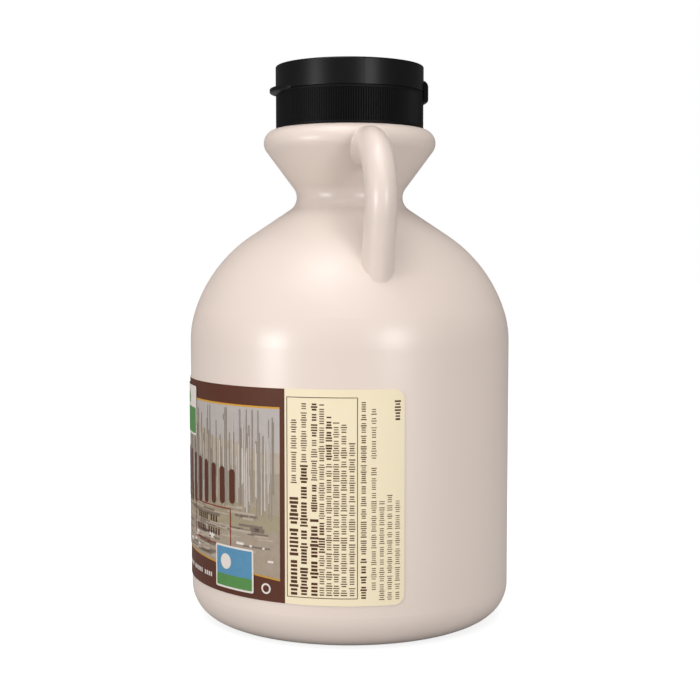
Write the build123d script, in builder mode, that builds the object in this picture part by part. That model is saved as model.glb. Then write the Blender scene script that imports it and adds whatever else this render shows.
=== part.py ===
from build123d import *
import math
import os

# Syrup jug: a round blow-moulded jug with a ring handle beside its neck, a wrap label
# and a flip-top screw closure. Millimetres, +Z up. The origin is the middle of the
# base. The handle points to +X and the front of the label and the thumb tab to -Y.

# --- jug -----------------------------------------------------------------------------
body_radius = 41.5
heel_radius = 8.5               # rounding from the wall to the base
wall_top = 71.8                 # height where the straight wall ends
shoulder_edge_radius = 24.2     # tighter bend where the wall turns into the shoulder
shoulder_edge_turn = 17.4       # degrees
shoulder_radius = 37.1          # main shoulder curve
neck_slope = 33.7               # cone between shoulder and waist, degrees from level
waist_radius = 13.8             # narrowest place, below the collar
waist_bend = 3.85
collar_slope = 53.4             # cone under the collar, degrees from level
collar_radius = 22.3            # widest place of the collar
rim_radius = 3.55               # rounding of the collar's edge

foot_ring_width = 4.0           # flat ring the jug stands on
base_recess = 1.8               # depth of the recess inside the ring
base_recess_bend = 1.2

# --- handle --------------------------------------------------------------------------
handle_half_width = 3.85        # oval section, deeper than it is wide
handle_half_depth = 4.75
handle_below_collar = 5.9       # from the collar's top face down to the handle's axis
handle_bend = 13.35
handle_lean = 15.0              # inward lean of the grip, degrees from upright
handle_root_blend = 0.5
handle_foot_blend = 0.4

# --- closure -------------------------------------------------------------------------
skirt_radius = 19.12
skirt_height = 9.55
skirt_edge = 0.25               # rounding of the skirt's edges
rib_band = 0.7                  # plain band above and below the ribs
rib_pitch = 0.62
rib_depth = 0.25
plain_panel_angle = 28.8        # half-width of the ribless panels, front and back

lid_overhang = 0.06             # the lid stands this far proud of the skirt
lid_height = 6.55
lid_top_edge = 0.35

tab_reach = 1.65                # thumb tab beyond the lid's wall
tab_half_angle = 28.0
tab_root_thickness = 2.1
tab_tip_thickness = 1.1
tab_tip_edge = 0.45
tab_drop = 0.9                  # the tab's root reaches this far below the lid

hinge_reach = 1.2               # hinge strap beyond the lid's wall
hinge_half_angle = 18.0
hinge_height = 5.5
hinge_drop = 2.6                # the strap's foot is this far below the lid
hinge_top_run = 1.65            # the strap's back curves in to the lid over this height
hinge_foot_edge = 0.75
hinge_side_edge = 0.3
closure_clearance = 0.05        # tab and strap stay this far off the skirt

# --- label ---------------------------------------------------------------------------
label_thickness = 0.15
label_bottom = 11.5
label_height = 51.0
label_half_angle = 96.4
label_corner = 2.5

front = -90                     # direction of the label's middle and the thumb tab


def leg(horizontal, slope):
    """Length of a straight side that covers a horizontal distance at a slope."""
    return horizontal / math.cos(math.radians(slope))


def sine(angle):
    return math.sin(math.radians(angle))


def cosine(angle):
    return math.cos(math.radians(angle))


os.makedirs("parts", exist_ok=True)

# The jug's outline, from the recess under it, up the wall and round to the collar
with BuildPart() as jug:
    with BuildSketch(Plane.YZ) as jug_section:
        with BuildLine():
            ring_outer = body_radius - heel_radius
            ring_inner = ring_outer - foot_ring_width
            base = FilletPolyline(
                (0, base_recess),
                (ring_inner - base_recess, base_recess),
                (ring_inner, 0),
                (ring_outer, 0),
                radius=base_recess_bend,
            )
            heel = JernArc(base @ 1, base % 1, radius=heel_radius, arc_size=90)
            wall = Line(heel @ 1, (body_radius, wall_top))
            shoulder_edge = JernArc(
                wall @ 1, wall % 1, radius=shoulder_edge_radius, arc_size=shoulder_edge_turn
            )
            shoulder = JernArc(
                shoulder_edge @ 1,
                shoulder_edge % 1,
                radius=shoulder_radius,
                arc_size=90 - neck_slope - shoulder_edge_turn,
            )
            cone_end = waist_radius + waist_bend * (1 - sine(neck_slope))
            cone = PolarLine(
                shoulder @ 1,
                leg((shoulder @ 1).X - cone_end, neck_slope),
                direction=shoulder % 1,
            )
            waist = JernArc(
                cone @ 1,
                cone % 1,
                radius=waist_bend,
                arc_size=neck_slope + collar_slope - 180,
            )
            rim_start = collar_radius - rim_radius * (1 - sine(collar_slope))
            collar = PolarLine(
                waist @ 1,
                leg(rim_start - (waist @ 1).X, collar_slope),
                direction=waist % 1,
            )
            rim = JernArc(
                collar @ 1, collar % 1, radius=rim_radius, arc_size=180 - collar_slope
            )
            collar_top = (rim @ 1).Y
            land = Line(rim @ 1, (0, collar_top))
            Line(land @ 1, base @ 0)
        make_face()
    revolve(axis=Axis.Z)

    # The handle leaves the collar level, bends down and leans in to the shoulder
    handle_height = collar_top - handle_below_collar
    bend_middle = body_radius - handle_half_depth - handle_bend
    corner_x = bend_middle + handle_bend * (1 + sine(handle_lean)) / cosine(handle_lean)
    foot_height = wall_top + handle_half_depth
    foot_x = corner_x - (handle_height - foot_height) * math.tan(math.radians(handle_lean))
    with BuildLine(Plane.XZ) as handle_path:
        FilletPolyline(
            (waist_radius, handle_height),
            (corner_x, handle_height),
            (foot_x, foot_height),
            radius=handle_bend,
        )
    with BuildSketch(Plane(handle_path.line @ 0, x_dir=(0, 1, 0), z_dir=handle_path.line % 0)):
        Ellipse(handle_half_width, handle_half_depth)
    sweep()
    root_joins = jug.edges().filter_by(GeomType.BSPLINE).sort_by(Axis.Z)[1:]
    fillet(root_joins, handle_root_blend)
    foot_join = jug.edges().filter_by(GeomType.BSPLINE).sort_by(Axis.Z)[0]
    fillet(foot_join, handle_foot_blend)
jug.part.label = "jug"

# Ribbed skirt of the closure, resting on the collar's flat top
with BuildPart() as closure_base:
    with BuildSketch(Plane.XY.offset(collar_top)):
        Circle(skirt_radius)
    extrude(amount=skirt_height)
    fillet(closure_base.edges().filter_by(GeomType.CIRCLE), skirt_edge)
    rib_span = 180 - 2 * plain_panel_angle
    rib_count = int(skirt_radius * math.radians(rib_span) / rib_pitch) + 1
    groove = rib_depth * math.sqrt(2)
    with BuildSketch(Plane.XY.offset(collar_top + rib_band)):
        for side in (0, 180):
            with PolarLocations(
                skirt_radius, rib_count, side - rib_span / 2, rib_span, endpoint=True
            ):
                Rectangle(groove, groove, rotation=45)
    extrude(amount=skirt_height - 2 * rib_band, mode=Mode.SUBTRACT)
closure_base.part.label = "closure_base"

# Lid with its thumb tab. The tab is a thin round plate set forward of the lid, so that
# only a crescent of it shows; below the lid it stays clear of the skirt
lid_bottom = collar_top + skirt_height
lid_radius = skirt_radius + lid_overhang
tab_tip = lid_radius + tab_reach
tab_middle = (tab_tip**2 - lid_radius**2) / (2 * (tab_tip - lid_radius * cosine(tab_half_angle)))
tab_radius = tab_tip - tab_middle
tab_floor = lid_bottom - tab_drop
with BuildPart() as closure_lid:
    with BuildSketch(Plane.XZ.offset(tab_middle)):
        with BuildLine():
            tab_slope = (tab_root_thickness - tab_tip_thickness) / 2
            tip_floor = tab_floor + tab_slope
            tip_roof = tip_floor + tab_tip_thickness
            FilletPolyline(
                (0, tab_floor),
                (tab_radius - tab_reach, tab_floor),
                (tab_radius, tip_floor),
                (tab_radius, tip_roof),
                (tab_radius - tab_reach, tab_floor + tab_root_thickness),
                (0, tab_floor + tab_root_thickness),
                radius=tab_tip_edge,
            )
            Line((0, tab_floor + tab_root_thickness), (0, tab_floor))
        make_face()
    revolve(axis=Axis((0, -tab_middle, 0), (0, 0, 1)))
    with BuildSketch(Plane.XY.offset(tab_floor)):
        Circle(skirt_radius + closure_clearance)
    extrude(amount=tab_drop, mode=Mode.SUBTRACT)
    with BuildSketch(Plane.XY.offset(lid_bottom)):
        Circle(lid_radius)
    extrude(amount=lid_height)
    fillet(closure_lid.faces().sort_by(Axis.Z)[-1].edges(), lid_top_edge)
closure_lid.part.label = "closure_lid"

# Hinge strap at the back, bridging lid and skirt
hinge_inside = lid_radius + closure_clearance
hinge_outside = lid_radius + hinge_reach
hinge_foot = lid_bottom - hinge_drop
with BuildPart() as closure_hinge:
    with BuildSketch(Plane.YZ):
        with BuildLine():
            hinge_back = FilletPolyline(
                (hinge_inside, hinge_foot),
                (hinge_outside, hinge_foot),
                (hinge_outside, hinge_foot + hinge_height - hinge_top_run),
                radius=hinge_foot_edge,
            )
            hinge_top = TangentArc(
                hinge_back @ 1,
                (hinge_inside, hinge_foot + hinge_height),
                tangent=hinge_back % 1,
            )
            Line(hinge_top @ 1, hinge_back @ 0)
        make_face()
    revolve(axis=Axis.Z)
    with BuildSketch(Plane.XY.offset(hinge_foot)) as hinge_plan:
        with BuildLine():
            hinge_arc = CenterArc(
                (0, 0), hinge_outside, 90 - hinge_half_angle, 2 * hinge_half_angle
            )
            Line((0, 0), hinge_arc @ 0)
            Line((0, 0), hinge_arc @ 1)
        make_face()
        fillet(hinge_plan.vertices().sort_by_distance((0, 0))[1:], hinge_side_edge)
    extrude(amount=hinge_height, mode=Mode.INTERSECT)
closure_hinge.part.label = "closure_hinge"

# Wrap label, open at the back
with BuildPart() as label:
    with BuildSketch(Plane.XY.offset(label_bottom)):
        with BuildLine():
            first_edge = front - label_half_angle
            inside = CenterArc((0, 0), body_radius, first_edge, 2 * label_half_angle)
            outside = CenterArc(
                (0, 0), body_radius + label_thickness, first_edge, 2 * label_half_angle
            )
            Line(inside @ 0, outside @ 0)
            Line(inside @ 1, outside @ 1)
        make_face()
    extrude(amount=label_height)
    corners = label.edges().filter_by(GeomType.LINE).filter_by(Axis.Z, reverse=True)
    fillet(corners, label_corner)
label.part.label = "label"

for piece in (jug, closure_base, closure_lid, closure_hinge, label):
    export_step(piece.part, f"parts/{piece.part.label}.step")
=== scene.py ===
import math
import random

import bpy
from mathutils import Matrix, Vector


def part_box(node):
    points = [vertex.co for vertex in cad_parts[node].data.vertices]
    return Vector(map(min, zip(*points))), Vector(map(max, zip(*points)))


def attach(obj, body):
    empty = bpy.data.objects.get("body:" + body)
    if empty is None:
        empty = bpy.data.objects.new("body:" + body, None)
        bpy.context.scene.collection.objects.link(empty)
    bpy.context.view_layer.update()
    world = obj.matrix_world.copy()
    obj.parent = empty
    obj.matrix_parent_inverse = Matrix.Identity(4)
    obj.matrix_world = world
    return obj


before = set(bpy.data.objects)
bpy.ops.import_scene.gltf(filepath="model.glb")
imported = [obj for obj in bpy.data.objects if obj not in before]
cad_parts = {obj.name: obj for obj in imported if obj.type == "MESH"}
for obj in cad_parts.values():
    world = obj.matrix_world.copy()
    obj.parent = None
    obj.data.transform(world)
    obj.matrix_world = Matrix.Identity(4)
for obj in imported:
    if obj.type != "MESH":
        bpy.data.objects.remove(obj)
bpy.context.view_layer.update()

mm = 0.001
labelLow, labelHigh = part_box("label")
labelRadius = labelHigh.x  # the wrap label reaches past both sides, so this is its outer radius
labelTop = labelHigh.z / mm
labelBottom = labelLow.z / mm


def linear(hexColour):  # sRGB hex to the linear values that the shader sockets hold
    channels = [int(hexColour[i:i + 2], 16) / 255 for i in (0, 2, 4)]
    return [c / 12.92 if c <= 0.04045 else ((c + 0.055) / 1.055) ** 2.4 for c in channels] + [1]


def addNode(tree, kind, settings=None, links=None):
    node = tree.nodes.new(kind)
    for name, value in (settings or {}).items():
        if name in node.inputs:
            node.inputs[name].default_value = value
        else:
            setattr(node, name, value)
    for name, source in (links or {}).items():
        tree.links.new(source, node.inputs[name])
    return node


def deselect():
    bpy.ops.object.select_all(action="DESELECT")


def pick(piece):
    deselect()
    piece.select_set(True)
    bpy.context.view_layer.objects.active = piece


roughnessDrift = 0.03  # how far the roughness wanders either way


def grainedPlastic(name, recipe):
    # a Principled surface with slow colour drift and a fine moulded grain, both sized in mm
    material = bpy.data.materials.new(name)
    material.use_nodes = True
    tree = material.node_tree
    shader = tree.nodes["Principled BSDF"]
    place = addNode(tree, "ShaderNodeTexCoord").outputs["Object"]
    drift = addNode(tree, "ShaderNodeTexNoise",
                    {"Scale": 1 / (recipe["driftSize"] * mm), "Detail": 3.0}, {"Vector": place})
    colour = addNode(tree, "ShaderNodeMix", {"data_type": "RGBA"})
    tree.links.new(drift.outputs["Fac"], colour.inputs["Factor"])
    colour.inputs[6].default_value = linear(recipe["colour"])
    colour.inputs[7].default_value = linear(recipe["driftColour"])
    tree.links.new(colour.outputs[2], shader.inputs["Base Color"])
    grain = addNode(tree, "ShaderNodeTexNoise",
                    {"Scale": 1 / (recipe["grainSize"] * mm), "Detail": 2.0}, {"Vector": place})
    rough = addNode(tree, "ShaderNodeMapRange",
                    {"To Min": recipe["roughness"] - roughnessDrift,
                     "To Max": recipe["roughness"] + roughnessDrift},
                    {"Value": drift.outputs["Fac"]})
    tree.links.new(rough.outputs["Result"], shader.inputs["Roughness"])
    bump = addNode(tree, "ShaderNodeBump",
                   {"Strength": recipe["grainStrength"], "Distance": recipe["grainDepth"] * mm},
                   {"Height": grain.outputs["Fac"]})
    tree.links.new(bump.outputs["Normal"], shader.inputs["Normal"])
    shader.inputs["IOR"].default_value = recipe["ior"]
    shader.inputs["Specular IOR Level"].default_value = recipe["specular"]
    return material


# High-density polyethylene, blow moulded: opaque, waxy, a soft wide highlight, faint orange peel
blowMouldedHdpe = grainedPlastic("blowMouldedHdpe", {
    "colour": "E8D8CD", "driftColour": "E5D4C9", "driftSize": 25, "grainSize": 0.8,
    "grainDepth": 0.02, "grainStrength": 0.15, "roughness": 0.35, "ior": 1.54, "specular": 0.6})

# Polypropylene, injection moulded, black: even satin, a dim broad highlight
mouldedPp = grainedPlastic("mouldedPp", {
    "colour": "0E0E0E", "driftColour": "111111", "driftSize": 8, "grainSize": 0.5,
    "grainDepth": 0.02, "grainStrength": 0.15, "roughness": 0.38, "ior": 1.49, "specular": 0.25})

# The same polypropylene with the fine matt etch of the ribbed skirt and the hinge strap
etchedPp = grainedPlastic("etchedPp", {
    "colour": "0F0F0F", "driftColour": "121212", "driftSize": 8, "grainSize": 0.5,
    "grainDepth": 0.02, "grainStrength": 0.15, "roughness": 0.5, "ior": 1.49, "specular": 0.12})

# Coated label paper: flat and matt, with the paper's faint tooth
coatedPaper = grainedPlastic("coatedPaper", {
    "colour": "F3E5C6", "driftColour": "F0E1C0", "driftSize": 12, "grainSize": 0.35,
    "grainDepth": 0.01, "grainStrength": 0.2, "roughness": 0.55, "ior": 1.5, "specular": 0.2})


def printedInk(name, colour, driftColour):  # offset ink on coated paper, mottled as fine as the dots
    return grainedPlastic(name, {
        "colour": colour, "driftColour": driftColour, "driftSize": 1.6, "grainSize": 0.35,
        "grainDepth": 0.01, "grainStrength": 0.15, "roughness": 0.5, "ior": 1.5, "specular": 0.15})


inks = {
    "brown": printedInk("inkBrown", "5D3528", "583124"),
    "textBrown": printedInk("inkTextBrown", "5E3A29", "4F2E20"),
    "gold": printedInk("inkGold", "D2A03C", "C7923A"),
    "sky": printedInk("inkSky", "BCB3AF", "B0A7A2"),
    "farWood": printedInk("inkFarWood", "BAAC9C", "AC9D8C"),
    "hill": printedInk("inkHill", "AA9D8C", "9C8E7D"),
    "meadow": printedInk("inkMeadow", "A89B82", "988B72"),
    "soil": printedInk("inkSoil", "AC9D8D", "9A8A79"),
    "trunk": printedInk("inkTrunk", "9F9387", "8F8377"),
    "paleTrunk": printedInk("inkPaleTrunk", "CFC6BF", "C3B9B1"),
    "bark": printedInk("inkBark", "85766A", "74665B"),
    "rust": printedInk("inkRust", "8E4032", "7F382C"),
    "pale": printedInk("inkPale", "E6DED6", "DDD3CA"),
    "blue": printedInk("inkBlue", "5E93B4", "5487A8"),
    "green": printedInk("inkGreen", "5C9150", "518447"),
}


for node, material in (("jug", blowMouldedHdpe), ("closure_base", etchedPp), ("closure_lid", mouldedPp),
                       ("closure_hinge", etchedPp), ("label", coatedPaper)):
    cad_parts[node].data.materials.clear()
    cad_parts[node].data.materials.append(material)
print("moulded pieces and label stock finished")


# Each ink is a thin sheet, drawn flat with x along the label's arc and z up, in mm from the middle
# of the front, then bent round the label. A layer is 0.02 mm further out than the one before.

inkLayer = 0.02
inkThickness = 0.03           # mm, as are all sizes of the print
bendStep = 1.5                # a sheet is cut this often, so that it bends round
cornerSegments = 5
smoothBelow = 30              # degrees


def flatCard(name, left, right, low, high, corner=0.0):
    deselect()
    bpy.ops.mesh.primitive_plane_add(size=1, rotation=(math.pi / 2, 0, 0),
                                     location=((left + right) / 2 * mm, 0, (low + high) / 2 * mm))
    piece = bpy.context.object
    piece.name = name
    piece.scale = ((right - left) * mm, (high - low) * mm, 1)
    bpy.ops.object.transform_apply()
    if corner:
        bpy.ops.object.mode_set(mode="EDIT")
        bpy.ops.mesh.select_all(action="SELECT")
        bpy.ops.mesh.bevel(offset=corner * mm, segments=cornerSegments, affect="VERTICES")
        bpy.ops.object.mode_set(mode="OBJECT")
    return piece


def flatRidge(name, left, right, low, ridge, columns):  # a field whose top edge follows ridge(x)
    deselect()
    bpy.ops.mesh.primitive_grid_add(x_subdivisions=columns, y_subdivisions=1, size=1,
                                    rotation=(math.pi / 2, 0, 0))
    piece = bpy.context.object
    piece.name = name
    piece.scale = ((right - left) * mm, 1, 1)
    bpy.ops.object.transform_apply()
    for v in piece.data.vertices:
        x = v.co.x / mm + (left + right) / 2
        v.co = (x * mm, 0, (ridge(x) if v.co.z > 0 else low) * mm)
    return piece


def join(name, pieces):
    deselect()
    for piece in pieces:
        piece.select_set(True)
    bpy.context.view_layer.objects.active = pieces[0]
    bpy.ops.object.join()
    pieces[0].name = name
    return pieces[0]


def wrapInk(piece, layer, ink, slices=True):
    pick(piece)
    xs = [v.co.x for v in piece.data.vertices]
    span = max(xs) - min(xs)
    bpy.ops.object.mode_set(mode="EDIT")
    if slices:
        for i in range(math.ceil(min(xs) / (bendStep * mm)), math.floor(max(xs) / (bendStep * mm)) + 1):
            bpy.ops.mesh.select_all(action="SELECT")
            bpy.ops.mesh.bisect(plane_co=(i * bendStep * mm, 0, 0), plane_no=(1, 0, 0))
    bpy.ops.object.mode_set(mode="OBJECT")
    for v in piece.data.vertices:
        v.co.y -= layer * inkLayer * mm
    thick = piece.modifiers.new("inkFilm", "SOLIDIFY")
    thick.thickness = inkThickness * mm
    thick.offset = -1
    bend = piece.modifiers.new("roundTheJug", "SIMPLE_DEFORM")
    bend.deform_method = "BEND"
    bend.deform_axis = "Z"
    bend.angle = span / labelRadius
    bpy.ops.object.modifier_apply(modifier="inkFilm")
    bpy.ops.object.modifier_apply(modifier="roundTheJug")
    for v in piece.data.vertices:
        v.co.y -= labelRadius
    bpy.ops.object.shade_smooth_by_angle(angle=math.radians(smoothBelow))
    piece.data.materials.clear()
    piece.data.materials.append(inks[ink])
    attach(piece, "root")
    return piece


front = {"halfAngle": 56.9, "pictureHalf": 40.1, "pictureLow": 17.1, "pictureSag": 2.2, "pictureTop": 57.6,
         "keyline": 0.45, "columns": 160, "rippleWave": 3.5, "strokeMargin": 1.5, "strokeTop": 57}
frontHalf = math.radians(front["halfAngle"]) * labelRadius / mm


def pictureFloor(x):  # the picture's lower edge dips a little away from the middle
    return front["pictureLow"] + front["pictureSag"] * (1 - (x / front["pictureHalf"]) ** 2)


wrapInk(flatCard("printFront", -frontHalf, frontHalf, labelBottom, labelTop), 1, "brown")


def band(name, ridge, layer, ink, hem=0.0):  # one field of the picture, down to its lower edge
    half = front["pictureHalf"]
    piece = flatRidge(name, -half, half, 0, ridge, front["columns"])
    for v in piece.data.vertices:
        if v.co.z == 0:
            v.co.z = (pictureFloor(v.co.x / mm) - hem) * mm
    wrapInk(piece, layer, ink, slices=False)


def ridgeLine(height, swell, wave, phase, ripple):
    return lambda x: (height + swell * math.sin(x / wave + phase)
                      + ripple * math.sin(x / front["rippleWave"]))


# the picture's fields from back to front: height, swell, wave, phase and ripple of the ridge in mm, ink
landscape = {
    "printSky": (57.6, 0, 10, 0, 0, "sky"),
    "printFarHills": (50, 2.5, 9, 1.0, 0.9, "farWood"),
    "printHills": (44.5, 2.0, 14, 2.4, 0.6, "hill"),
    "printMeadow": (34, 2.2, 12, 0.6, 0.4, "meadow"),
    "printField": (28.5, 1.8, 9, 2.0, 0.5, "soil"),
}
keylineTop = ridgeLine(front["pictureTop"] + front["keyline"], 0, 10, 0, 0)
band("printKeyline", keylineTop, 2, "gold", front["keyline"])
for layer, (name, (*ridge, ink)) in enumerate(landscape.items(), 3):
    band(name, ridgeLine(*ridge), layer, ink)
print("label print: front fields done")


greeking = {"wordLength": (3, 9), "tallness": (1.0, 1.0, 1.35), "unevenness": (0.85, 1.15), "space": 0.9}


def greekedLine(cards, x, low, high, size, pitch, weight, seed):
    # a line of plain bars standing for print, running up the label; size is the bars' height
    draw = random.Random(seed)
    at = low
    while at < high:
        for letter in range(draw.randint(*greeking["wordLength"])):
            if at > high:
                break
            tall = draw.choice(greeking["tallness"])
            cards.append((x, at, size * tall, pitch * draw.uniform(*greeking["unevenness"]) * weight))
            at += pitch
        at += pitch * greeking["space"]


def cardsPiece(name, cards, layer, ink, slices=False):  # planes of 1 mm added in one mesh, then sized
    deselect()
    for i, (x, z, _, _) in enumerate(cards):
        bpy.ops.mesh.primitive_plane_add(size=mm, rotation=(math.pi / 2, 0, 0), location=(x * mm, 0, z * mm))
        if i == 0:
            piece = bpy.context.object
            piece.name = name
            bpy.ops.object.transform_apply()
            bpy.ops.object.mode_set(mode="EDIT")
    bpy.ops.object.mode_set(mode="OBJECT")
    for i, (x, z, width, height) in enumerate(cards):
        for v in piece.data.vertices[4 * i:4 * i + 4]:
            v.co.x = x * mm + (v.co.x - x * mm) * width
            v.co.z = z * mm + (v.co.z - z * mm) * height
    return wrapInk(piece, layer, ink, slices)


printSizes = {  # height of a bar, letter pitch, and how much of the pitch a bar fills
    "title": (1.6, 0.95, 0.66), "heavy": (1.5, 0.85, 0.68), "strong": (1.4, 0.75, 0.66),
    "medium": (1.1, 0.6, 0.66), "bold": (1.1, 0.62, 0.64), "plain": (1.1, 0.55, 0.45),
    "listHead": (1.1, 0.62, 0.62), "list": (1.0, 0.5, 0.5), "small": (0.95, 0.5, 0.38),
    "smallWide": (0.95, 0.55, 0.38), "mark": (1.1, 0.7, 0.6),
}
panelLines = [  # the text of one side panel: place across the panel, start, end and size
    (2.3, 2.6, 26.5, "title"), (2.3, 29.0, 44.0, "plain"),
    (4.8, 2.6, 33.0, "strong"), (4.8, 34.0, 48.0, "plain"),
    (7.3, 2.6, 21.0, "heavy"), (7.3, 22.5, 29.0, "medium"),
    (7.3, 29.8, 39.5, "plain"), (7.3, 40.2, 48.0, "bold"),
    (9.1, 2.6, 12.0, "plain"), (9.1, 12.8, 20.0, "bold"), (9.1, 20.8, 47.6, "plain"),
    (10.8, 2.6, 34.0, "plain"), (10.8, 34.8, 45.0, "bold"),
    (12.5, 2.6, 43.5, "plain"), (14.3, 2.6, 42.8, "plain"), (16.2, 2.6, 38.5, "plain"),
    (18.9, 2.0, 11.5, "listHead"), (18.9, 12.5, 48.2, "list"),
    (21.3, 4.0, 33.0, "small"), (21.3, 35.0, 46.5, "smallWide"),
    (23.2, 1.5, 25.0, "small"), (25.1, 1.5, 26.5, "small"),
    (27.0, 1.5, 25.5, "small"), (27.0, 44.0, 48.3, "mark"),
]
for side, sign in (("Right", 1), ("Left", -1)):
    cards = []
    for i, (across, low, high, size) in enumerate(panelLines):
        x = sign * (frontHalf + across)
        greekedLine(cards, x, labelBottom + low, labelBottom + high, *printSizes[size], i)
    cardsPiece("printText" + side, cards, 1, "textBrown")
print("label print: side text done")


def ruledBox(left, right, low, high, line):  # the four lines of a box
    return [((left + right) / 2, low, right - left, line), ((left + right) / 2, high, right - left, line),
            (left, (low + high) / 2, line, high - low), (right, (low + high) / 2, line, high - low)]


def scatter(recipe, seed):  # plain strokes strewn over part of the picture
    draw = random.Random(seed)
    reach = front["pictureHalf"] - front["strokeMargin"]
    cards = []
    for i in range(recipe["count"]):
        width, height = draw.uniform(*recipe["width"]), draw.uniform(*recipe["height"])
        x = draw.uniform(-reach + width / 2, reach - width / 2)
        foot = draw.uniform(*recipe["foot"])
        cards.append((x, min(foot + height / 2, front["strokeTop"] - height / 2), width, height))
    return cards


strokes = {  # bare trees behind the meadow, then furrows and stones in front of it
    "printTrees": {"count": 170, "width": (0.15, 0.45), "height": (7, 24), "foot": (30, 38),
                   "layer": 8, "ink": "trunk"},
    "printPaleTrees": {"count": 90, "width": (0.15, 0.35), "height": (5, 16), "foot": (32, 42),
                       "layer": 9, "ink": "paleTrunk"},
    "printFurrows": {"count": 80, "width": (2, 12), "height": (0.3, 0.8), "foot": (19.6, 31),
                     "layer": 8, "ink": "bark"},
    "printStubble": {"count": 70, "width": (2, 10), "height": (0.3, 0.7), "foot": (19.6, 33),
                     "layer": 9, "ink": "farWood"},
    "printStones": {"count": 22, "width": (0.6, 2.6), "height": (0.35, 0.8), "foot": (19.8, 25),
                    "layer": 10, "ink": "pale"},
}
for seed, (name, recipe) in enumerate(strokes.items()):
    wide = recipe["width"][1] > 1  # a wide stroke has to bend round the label
    cardsPiece(name, scatter(recipe, seed), recipe["layer"], recipe["ink"], slices=wide)

sideBox = {"inset": 0.6, "across": 16.86, "low": 1.8, "high": 49.1, "line": 0.18}
for side, sign in (("Right", 1), ("Left", -1)):
    ends = sorted(sign * (frontHalf + sideBox["inset"] + across) for across in (0, sideBox["across"]))
    cardsPiece("printBox" + side, ruledBox(*ends, labelBottom + sideBox["low"], labelBottom + sideBox["high"],
                                           sideBox["line"]), 1, "textBrown", slices=True)

# a row of rounded beads, tallest in the middle, where the pack has its large title
beads = {"count": 15, "pitch": 3.7, "width": 1.9, "tall": 14.0, "short": 8.0, "middle": 38.0, "corner": 0.9}
pieces = []
for i in range(beads["count"]):
    x = (i - (beads["count"] - 1) / 2) * beads["pitch"]
    fade = abs(x) / (beads["count"] * beads["pitch"] / 2)
    half = (beads["tall"] + (beads["short"] - beads["tall"]) * fade) / 2
    pieces.append(flatCard("bead", x - beads["width"] / 2, x + beads["width"] / 2, beads["middle"] - half,
                           beads["middle"] + half, beads["corner"]))
wrapInk(join("printBeads", pieces), 11, "brown")


def barRow(bars, start, height, count, row, sign=1):  # words of plain bars along the label
    for i in range(count):
        if i % row["word"] != row["word"] - 1:
            bars.append((sign * (start + row["pitch"] * i), height, row["barWidth"], row["barHeight"]))


gradeBox = {"left": 7.4, "right": 25.3, "low": 23.2, "high": 32.4, "line": 0.3,
            "rows": ((29.2, 10.4, 21.5), (26.1, 9.2, 23.6)),  # height, start and end of each line
            "pitch": 1.15, "barWidth": 0.55, "barHeight": 1.6, "word": 6}
cards, bars = [], []
for sign in (1, -1):
    ends = sorted((sign * gradeBox["left"], sign * gradeBox["right"]))
    cards += ruledBox(*ends, gradeBox["low"], gradeBox["high"], gradeBox["line"])
    for height, start, end in gradeBox["rows"]:
        barRow(bars, start, height, int((end - start) / gradeBox["pitch"]), gradeBox, sign)
cardsPiece("printGradeBox", cards, 11, "rust", slices=True)
cardsPiece("printGradeText", bars, 11, "textBrown")


def disc(name, x, z, radius, layer, ink):
    deselect()
    bpy.ops.mesh.primitive_circle_add(vertices=32, radius=radius * mm, fill_type="NGON",
                                      rotation=(math.pi / 2, 0, 0), location=(x * mm, 0, z * mm))
    bpy.ops.object.transform_apply()
    bpy.context.object.name = name
    return wrapInk(bpy.context.object, layer, ink)


def tileCards(cards, side, middle):  # half width, low, high and corner of each card, its layer and ink
    for name, (half, low, high, corner, layer, ink) in cards.items():
        wrapInk(flatCard(name + side, middle - half, middle + half, low, high, corner), layer, ink)


# plain coloured tiles and marks in the places of the pack's badges
tile = {"middle": 26.15, "discInset": 2.6, "discHeight": 19.4, "discRadius": 1.9,
        "cards": {"printTile": (6.65, 12.8, 23.4, 0.5, 12, "pale"),
                  "printTileSky": (6.15, 16.0, 22.9, 0.3, 13, "blue"),
                  "printTileGround": (6.15, 13.3, 16.2, 0.3, 14, "green")}}
ring = {"middle": 36.25, "height": 14.5, "radius": 1.3, "hole": 0.85}
for side, sign in (("Right", 1), ("Left", -1)):
    tileCards(tile["cards"], side, tile["middle"] * sign)
    disc("printTileDisc" + side, (tile["middle"] - tile["discInset"]) * sign, tile["discHeight"],
         tile["discRadius"], 14, "pale")
    disc("printRing" + side, ring["middle"] * sign, ring["height"], ring["radius"], 2, "pale")
    disc("printRingMiddle" + side, ring["middle"] * sign, ring["height"], ring["hole"], 3, "brown")

topTile = {"discHeight": 57.6, "discRadius": 1.7,
           "cards": {"printTopTile": (8.4, 48.4, 60.9, 0.6, 12, "pale"),
                     "printTopTileField": (7.9, 48.9, 55.4, 0.4, 13, "green")}}
tileCards(topTile["cards"], "", 0)
disc("printTopTileDisc", 0, topTile["discHeight"], topTile["discRadius"], 13, "green")

contents = {"count": 32, "start": -17.3, "height": 14.9, "pitch": 1.1, "barWidth": 0.6, "barHeight": 1.1,
            "word": 7}
bars = []
barRow(bars, contents["start"], contents["height"], contents["count"], contents)
cardsPiece("printContents", bars, 2, "pale")
print("label print: marks and picture strokes done")


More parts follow.
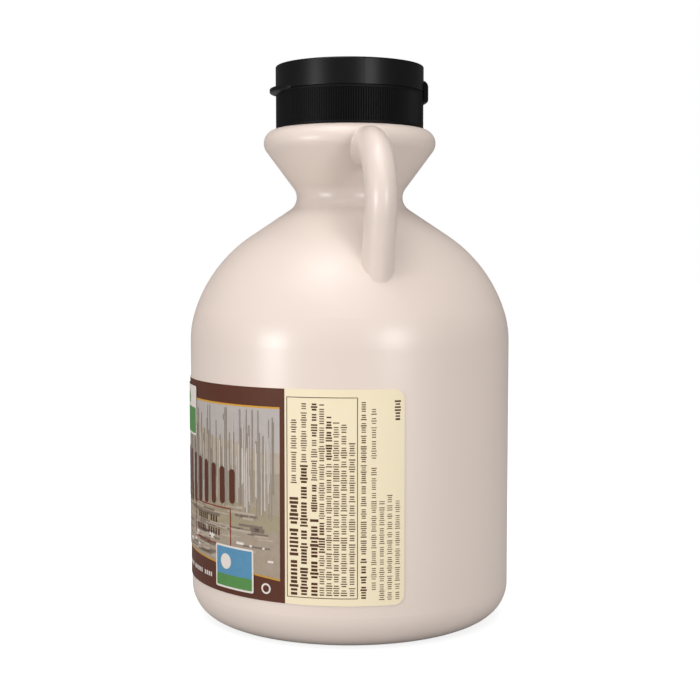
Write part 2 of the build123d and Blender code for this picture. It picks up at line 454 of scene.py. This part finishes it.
# Paper sweep, matt: pale under the object's shadow, and lit up to white for the camera only
stage = {"size": 8, "colour": "BCBCBC", "roughness": 0.9, "glow": 0.8}
deselect()
bpy.ops.mesh.primitive_plane_add(size=stage["size"])
floor = bpy.context.object
floor.name = "floor"
floorMaterial = bpy.data.materials.new("paperSweep")
floorMaterial.use_nodes = True
tree = floorMaterial.node_tree
shader = tree.nodes["Principled BSDF"]
shader.inputs["Base Color"].default_value = linear(stage["colour"])
shader.inputs["Roughness"].default_value = stage["roughness"]
shader.inputs["Specular IOR Level"].default_value = 0.0
rays = addNode(tree, "ShaderNodeLightPath")
seen = addNode(tree, "ShaderNodeMapRange", {"To Min": 0.0, "To Max": stage["glow"]},
               {"Value": rays.outputs["Is Camera Ray"]})
glow = addNode(tree, "ShaderNodeEmission", {"Color": (1, 1, 1, 1)}, {"Strength": seen.outputs["Result"]})
both = addNode(tree, "ShaderNodeAddShader")
tree.links.new(shader.outputs["BSDF"], both.inputs[0])
tree.links.new(glow.outputs["Emission"], both.inputs[1])
tree.links.new(both.outputs["Shader"], tree.nodes["Material Output"].inputs["Surface"])
floor.data.materials.append(floorMaterial)

studio = {"ambient": 0.45, "backdrop": 1.0, "mirrored": 0.3}  # world strengths; gloss sees a dimmer world
scene = bpy.context.scene
scene.view_settings.view_transform = "Standard"
scene.cycles.diffuse_bounces = 1  # one bounce keeps the hollow under the collar dark
world = bpy.data.worlds.new("studio")
scene.world = world
world.use_nodes = True
tree = world.node_tree
background = tree.nodes["Background"]
background.inputs["Color"].default_value = (1, 1, 1, 1)
rays = addNode(tree, "ShaderNodeLightPath")
level = addNode(tree, "ShaderNodeMapRange", {"To Min": studio["ambient"], "To Max": studio["backdrop"]},
                {"Value": rays.outputs["Is Camera Ray"]})
mirrored = addNode(tree, "ShaderNodeMapRange", {"To Min": 1.0, "To Max": studio["mirrored"]},
                   {"Value": rays.outputs["Is Glossy Ray"]})
dimmed = addNode(tree, "ShaderNodeMath", {"operation": "MULTIPLY"})
tree.links.new(level.outputs["Result"], dimmed.inputs[0])
tree.links.new(mirrored.outputs["Result"], dimmed.inputs[1])
tree.links.new(dimmed.outputs["Value"], background.inputs["Strength"])

camera = {"azimuth": 78.4, "distance": 342.8, "height": 92.45, "pitch": 3.933, "fieldOfView": 30.0,
          "shift": 0.0005, "nearest": 10}
aimHeight = 0.07  # m, the lamps point at the axis this far up
lamps = {  # azimuth from the front, elevation, distance and size in m, power in W
    "keyTop": (47.0, 72, 0.7, 0.16, 0.16, 0.42),
    "leftLow": (26.0, 3, 0.7, 0.16, 0.16, 1.5),
    "rightLow": (108.5, 8, 0.7, 0.18, 0.18, 1.25),
    "topLeft": (35.0, 60, 0.8, 0.4, 0.4, 0.6),
    "frontHigh": (75.0, 50, 0.9, 0.5, 0.5, 0.82),
    "overhead": (75.0, 82, 0.8, 0.7, 0.7, 1.6),
}


def around(azimuth, elevation, distance):
    turn, rise = math.radians(azimuth), math.radians(elevation)
    return (distance * math.sin(turn) * math.cos(rise), -distance * math.cos(turn) * math.cos(rise),
            distance * math.sin(rise))


for name, (azimuth, elevation, distance, width, height, power) in lamps.items():
    deselect()
    x, y, z = around(azimuth, elevation, distance)
    bpy.ops.object.light_add(type="AREA", location=(x, y, z + aimHeight),
                             rotation=(math.radians(90 - elevation), 0, math.radians(azimuth)))
    lamp = bpy.context.object
    lamp.name = name
    lamp.data.shape = "RECTANGLE"
    lamp.data.size = width
    lamp.data.size_y = height
    lamp.data.energy = power

deselect()
x, y, _ = around(camera["azimuth"], 0, camera["distance"] * mm)
bpy.ops.object.camera_add(location=(x, y, camera["height"] * mm),
                          rotation=(math.radians(90 - camera["pitch"]), 0, math.radians(camera["azimuth"])))
eye = bpy.context.object
eye.data.angle = math.radians(camera["fieldOfView"])
eye.data.shift_x = camera["shift"]
eye.data.clip_start = camera["nearest"] * mm
scene.camera = eye
print("stage, lamps and camera done")
